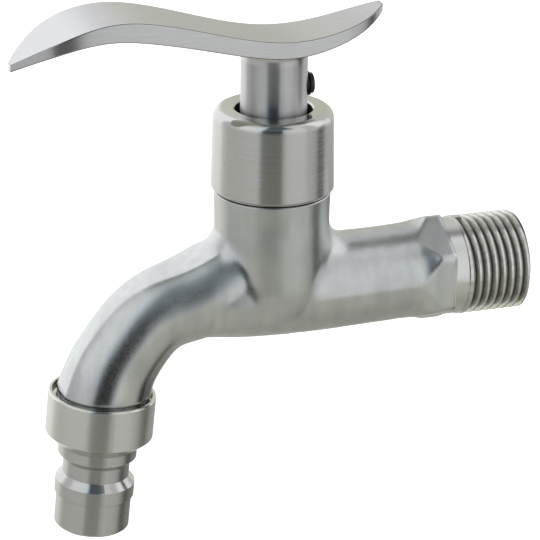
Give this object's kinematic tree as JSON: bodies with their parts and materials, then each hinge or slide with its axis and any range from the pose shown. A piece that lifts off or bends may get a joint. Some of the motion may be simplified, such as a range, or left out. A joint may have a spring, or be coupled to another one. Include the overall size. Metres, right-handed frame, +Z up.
{
  "type": "bib tap",
  "caption": "Wall-mounted bib tap in satin stainless steel, with a wavy lever handle, a bent spout, a threaded inlet, a union nut and a ridged hose nozzle.",
  "frame": {"origin": "centre of the free end of the inlet thread, on its axis", "axes": "+Y out of the tap into the wall along the inlet thread, +Z up along the spindle, X = 0 is the plane of symmetry"},
  "size_m": [0.0252, 0.1081, 0.1101],
  "materials": {
    "casting": "satin cast stainless steel, blasted and brushed",
    "sleeve_turned": "stainless steel, brushed round the axis",
    "outlet_turned": "stainless steel, brushed round the outlet axis",
    "nozzle_turned": "turned stainless steel",
    "lever_steel": "fine satin cast stainless steel",
    "housing_brass": "machined brass",
    "spindle_steel": "turned stainless steel",
    "clip_steel": "spring steel",
    "screw_steel": "dark steel",
    "screen_steel": "perforated stainless sheet",
    "seal_rubber": "black sealing rubber",
    "washer_plastic": "white low-friction plastic",
    "gasket_fibre": "red-brown fibre",
    "disc_ceramic": "white ceramic"
  },
  "bodies": {
    "tap_body": {"body": "casting", "bonnet_sleeve": "sleeve_turned", "headwork_housing": "housing_brass", "headwork_gasket": "gasket_fibre", "friction_washer": "washer_plastic", "fixed_disc": "disc_ceramic", "seat_seal": "seal_rubber", "seal_support_ring": "washer_plastic", "outlet_nut": "outlet_turned", "nozzle": "nozzle_turned", "nozzle_washer": "seal_rubber", "strainer_screen": "screen_steel"},
    "handle": {"handle": "lever_steel", "grub_screw": "screw_steel", "spindle": "spindle_steel", "upper_o_ring": "seal_rubber", "lower_o_ring": "seal_rubber", "spindle_clip": "clip_steel", "moving_disc": "disc_ceramic"}
  },
  "joints": [
    {"name": "handle_turn", "type": "hinge", "parent": "tap_body", "child": "handle", "pos_m": [0, -0.0545, 0.043], "axis": [0, 0, 1], "range_deg": [0, 90]}
  ]
}
